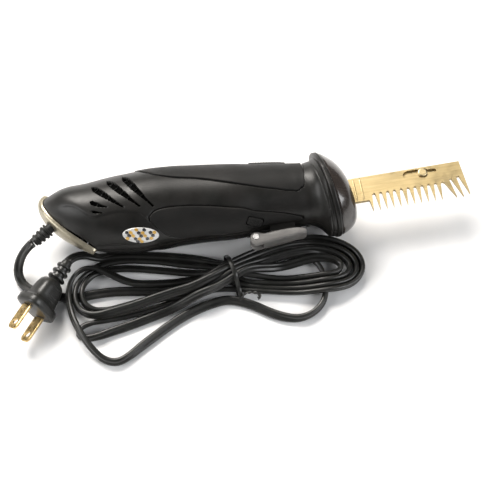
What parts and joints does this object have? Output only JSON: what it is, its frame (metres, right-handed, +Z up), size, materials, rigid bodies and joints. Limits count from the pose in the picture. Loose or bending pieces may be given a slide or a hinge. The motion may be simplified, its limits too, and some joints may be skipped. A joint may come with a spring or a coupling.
{
  "type": "electric uncapping knife",
  "caption": "Corded electric uncapping knife: a black grip with a round guard, a grey trigger and twin toothed comb blades, with its cord tied in a hank beside it.",
  "frame": {"origin": "centre of the flat on the guard ring's lower side, which the knife lies on", "axes": "+X along the blades towards their tip, +Y from the teeth to the blades' back, +Z up from the surface the knife lies on"},
  "size_m": [0.2677, 0.1059, 0.049],
  "materials": {
    "black_plastic": "satin moulded charcoal-black plastic",
    "soft_grip": "fine matte overmoulded rubber",
    "champagne_trim": "satin champagne paint",
    "nose_gloss": "glossy dark brown-black plastic",
    "grey_plastic": "satin light grey plastic",
    "blade_steel": "brushed steel with a warm golden cast",
    "steel": "plain machined steel",
    "laminated_steel": "stacked motor laminations",
    "copper": "enamelled copper winding wire",
    "nylon": "natural nylon",
    "carbon": "dark graphite and phenolic",
    "badge_white": null,
    "cord_black": "black vinyl cord jacket",
    "brass": "polished brass prongs"
  },
  "bodies": {
    "handle": {"housing_upper": "black_plastic", "housing_lower": "black_plastic", "guard_ring": "black_plastic", "tail_trim": "champagne_trim", "nose_cap": "nose_gloss", "top_grip_pad": "soft_grip", "side_grip_pad_upper": "soft_grip", "side_grip_pad_lower": "soft_grip", "badge": "badge_white", "stator_core": "laminated_steel", "field_coil_spine": "copper", "field_coil_belly": "copper", "rear_bearing": "steel", "front_bearing": "steel", "brush_holder_upper": "nylon", "brush_holder_lower": "nylon", "carbon_brush_upper": "carbon", "carbon_brush_lower": "carbon", "brush_spring_upper": "steel", "brush_spring_lower": "steel", "gear_frame": "steel", "trigger_pin": "steel", "switch_body": "carbon", "housing_screw_1": "steel", "housing_screw_2": "steel", "housing_screw_3": "steel", "housing_screw_4": "steel", "strain_relief": "cord_black", "cord_lead": "cord_black", "cord_end": "cord_black", "cord_hank": "cord_black", "cord_tie": "cord_black", "plug_body": "cord_black", "plug_prong_1": "brass", "plug_prong_2": "brass"},
    "rotor": {"rotor_shaft": "steel", "worm": "steel", "armature_core": "laminated_steel", "commutator": "copper", "cooling_fan": "nylon"},
    "gear": {"worm_wheel": "nylon"},
    "arm_lower": {"drive_arm_lower": "nylon"},
    "arm_upper": {"drive_arm_upper": "nylon"},
    "comb_lower": {"blade_lower": "blade_steel", "blade_rivet": "blade_steel"},
    "comb_upper": {"blade_upper": "blade_steel"},
    "trigger_lever": {"trigger": "grey_plastic"},
    "plunger": {"switch_plunger": "grey_plastic"},
    "lock": {"lock_slider": "soft_grip"},
    "release_upper": {"release_button_upper": "soft_grip"},
    "release_lower": {"release_button_lower": "soft_grip"}
  },
  "joints": [
    {"name": "rotor_spin", "type": "hinge", "parent": "handle", "child": "rotor", "pos_m": [-0.054, 0.0115, 0.0245], "axis": [1, 0, 0], "continuous": true},
    {"name": "gear_spin", "type": "hinge", "parent": "handle", "child": "gear", "pos_m": [-0.054, 0.0007, 0.0245], "axis": [0, 0, 1], "continuous": true},
    {"name": "arm_lower_slide", "type": "slide", "parent": "handle", "child": "arm_lower", "axis": [1, 0, 0], "range_m": [-0.003, 0.003]},
    {"name": "arm_upper_slide", "type": "slide", "parent": "handle", "child": "arm_upper", "axis": [1, 0, 0], "range_m": [-0.003, 0.003]},
    {"name": "comb_lower_release", "type": "slide", "parent": "arm_lower", "child": "comb_lower", "axis": [1, 0, 0], "range_m": [0, 0.028]},
    {"name": "comb_upper_release", "type": "slide", "parent": "arm_upper", "child": "comb_upper", "axis": [1, 0, 0], "range_m": [0, 0.028]},
    {"name": "trigger_pull", "type": "hinge", "parent": "handle", "child": "trigger_lever", "pos_m": [-0.0435, -0.0188, 0.0245], "axis": [0, 0, 1], "range_deg": [0, 6], "stiffness_Nm_per_rad": 0.5, "springref_deg": -5.73},
    {"name": "switch_press", "type": "slide", "parent": "handle", "child": "plunger", "axis": [0, 1, 0], "range_m": [0, 0.0021]},
    {"name": "lock_slide", "type": "slide", "parent": "handle", "child": "lock", "axis": [1, 0, 0], "range_m": [0, 0.0035]},
    {"name": "release_upper_press", "type": "slide", "parent": "handle", "child": "release_upper", "axis": [0, 0.9026, -0.4305], "range_m": [0, 0.0015], "stiffness_N_per_m": 400, "springref_m": -0.001},
    {"name": "release_lower_press", "type": "slide", "parent": "handle", "child": "release_lower", "axis": [0, 0.9026, 0.4305], "range_m": [0, 0.0015], "stiffness_N_per_m": 400, "springref_m": -0.001}
  ],
  "couplings": [
    {"joint": "gear_spin", "follows": "rotor_spin", "ratio": 0.041667},
    {"joint": "arm_upper_slide", "follows": "arm_lower_slide", "ratio": -1},
    {"joint": "comb_upper_release", "follows": "comb_lower_release", "ratio": 1},
    {"joint": "switch_press", "follows": "trigger_pull", "m_per_rad": 0.0195}
  ]
}
